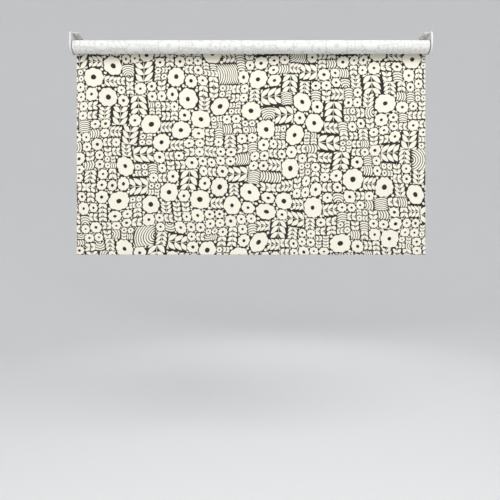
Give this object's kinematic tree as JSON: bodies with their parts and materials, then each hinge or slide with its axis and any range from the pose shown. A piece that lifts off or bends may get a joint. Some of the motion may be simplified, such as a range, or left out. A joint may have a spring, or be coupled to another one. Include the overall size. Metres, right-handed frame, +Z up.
{
  "type": "roller blind",
  "caption": "Cordless spring roller blind with printed cloth, weighted hem, sprung idle pin and two covered steel brackets.",
  "frame": {"origin": "on the left bracket's top fixing face, straight above the roller's axis, midway along the flange", "axes": "+X along the roller from the left end to the right end, +Y towards the window, +Z up out of the top fixing faces"},
  "size_m": [0.984, 0.0487, 0.607],
  "materials": {
    "white_steel": "white powder coat, satin",
    "white_plastic": "moulded, fine texture",
    "grey_plastic": "moulded",
    "nylon": "natural, waxy",
    "zinc_steel": "bright zinc",
    "spring_steel": "oiled wire",
    "aluminium": "mill finish, drawn lengthways",
    "printed_cloth": "plain weave, ivory with a charcoal floral print",
    "cloth_back": "coated white back, the print showing through faintly"
  },
  "bodies": {
    "brackets": {"left_bracket": "white_steel", "right_bracket": "white_steel", "left_bracket_cover": "white_plastic", "right_bracket_cover": "white_plastic", "right_bracket_bush": "nylon", "spindle": "zinc_steel", "thrust_washer": "nylon", "brake_drum": "zinc_steel", "spring_collar": "zinc_steel", "spindle_clip": "spring_steel"},
    "roller": {"roller_tube": "aluminium", "fixing_spline": "nylon", "fabric_roll": "cloth_back", "spring_end_plug": "white_plastic", "spindle_bush": "nylon", "brake_spring": "spring_steel", "brake_housing": "grey_plastic", "torsion_spring": "spring_steel", "spring_anchor": "grey_plastic", "idle_end_plug": "white_plastic", "idle_pin_spring": "spring_steel", "idle_pin_retainer": "grey_plastic"},
    "idle_pin": {"idle_pin": "zinc_steel"},
    "hem": {"fabric_drop": "printed_cloth", "hem_pocket": "printed_cloth", "bottom_bar": "aluminium", "bar_cap_left": "white_plastic", "bar_cap_right": "white_plastic"}
  },
  "joints": [
    {"name": "roller_turn", "type": "hinge", "parent": "brackets", "child": "roller", "pos_m": [0.4805, 0, -0.03599], "axis": [1, 0, 0], "range_deg": [-1875, 1710]},
    {"name": "hem_travel", "type": "slide", "parent": "brackets", "child": "hem", "axis": [0, 0, 1], "range_m": [-0.569, 0.5189], "deforming": ["fabric_drop"]},
    {"name": "idle_pin_press", "type": "slide", "parent": "roller", "child": "idle_pin", "axis": [1, 0, 0], "range_m": [-0.006, 0], "stiffness_N_per_m": 400, "springref_m": 0.005, "deforming": ["idle_pin_spring"]}
  ],
  "couplings": [
    {"joint": "hem_travel", "follows": "roller_turn", "m_per_rad": 0.017386}
  ]
}
